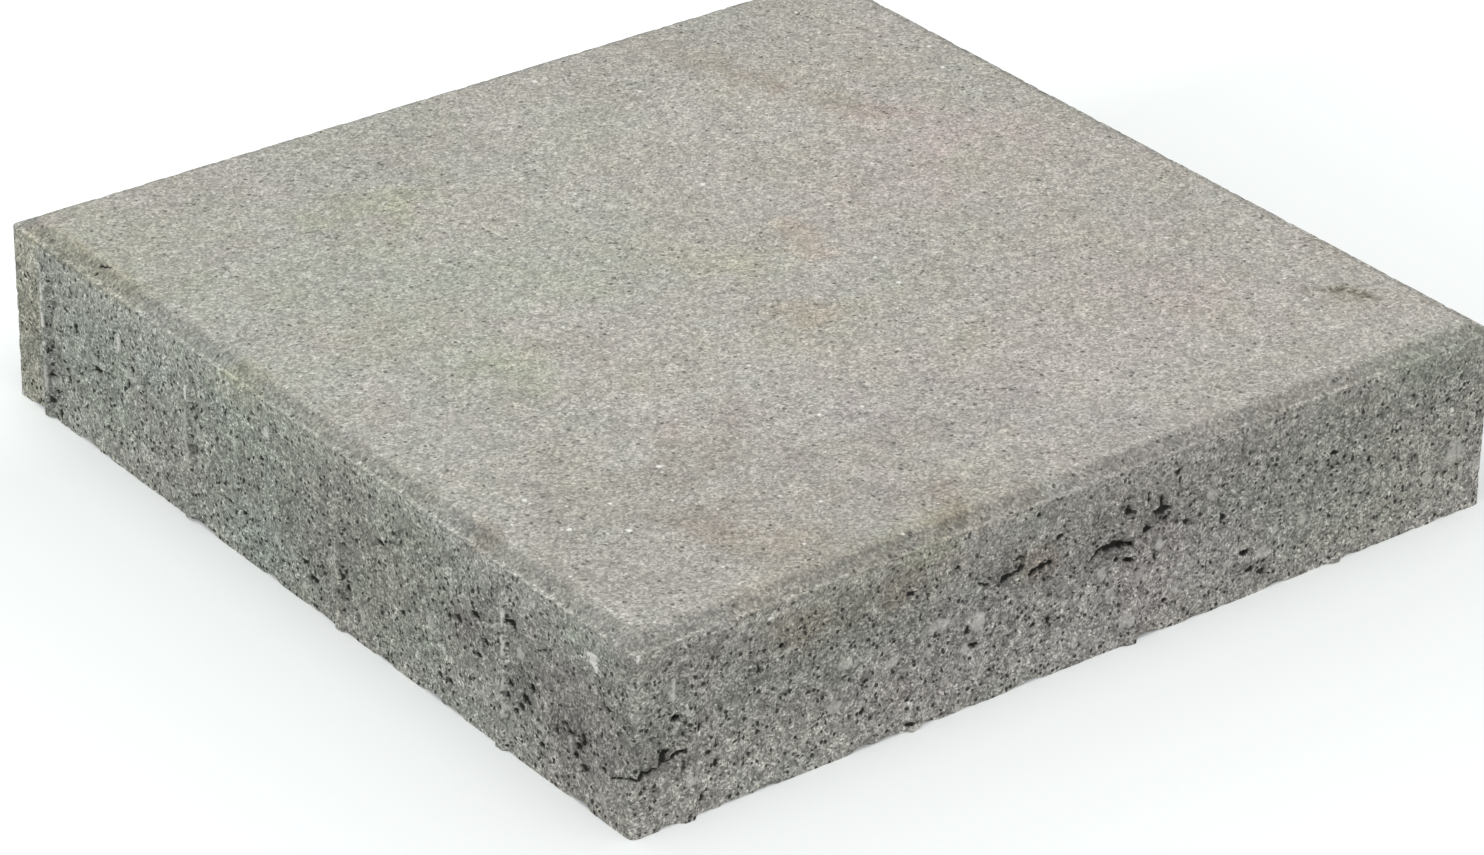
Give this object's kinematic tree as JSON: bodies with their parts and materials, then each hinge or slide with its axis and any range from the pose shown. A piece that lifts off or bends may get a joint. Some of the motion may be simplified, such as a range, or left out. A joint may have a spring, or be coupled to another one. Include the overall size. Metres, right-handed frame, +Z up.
{
  "type": "concrete paving slab",
  "caption": "Square pressed-concrete paving slab with a chamfered wearing face and upright spacer nibs on its sides, for laying on a bed in rows.",
  "frame": {"origin": "centre of the bed face, the flat underside that the slab lies on", "axes": "+Z up through the wearing face, X and Y square to the four sides"},
  "size_m": [0.403, 0.403, 0.077],
  "materials": {
    "concrete": "matt, sandy and open-pored, as pressed"
  },
  "bodies": {
    "root": {"paving_slab": "concrete"}
  },
  "joints": []
}
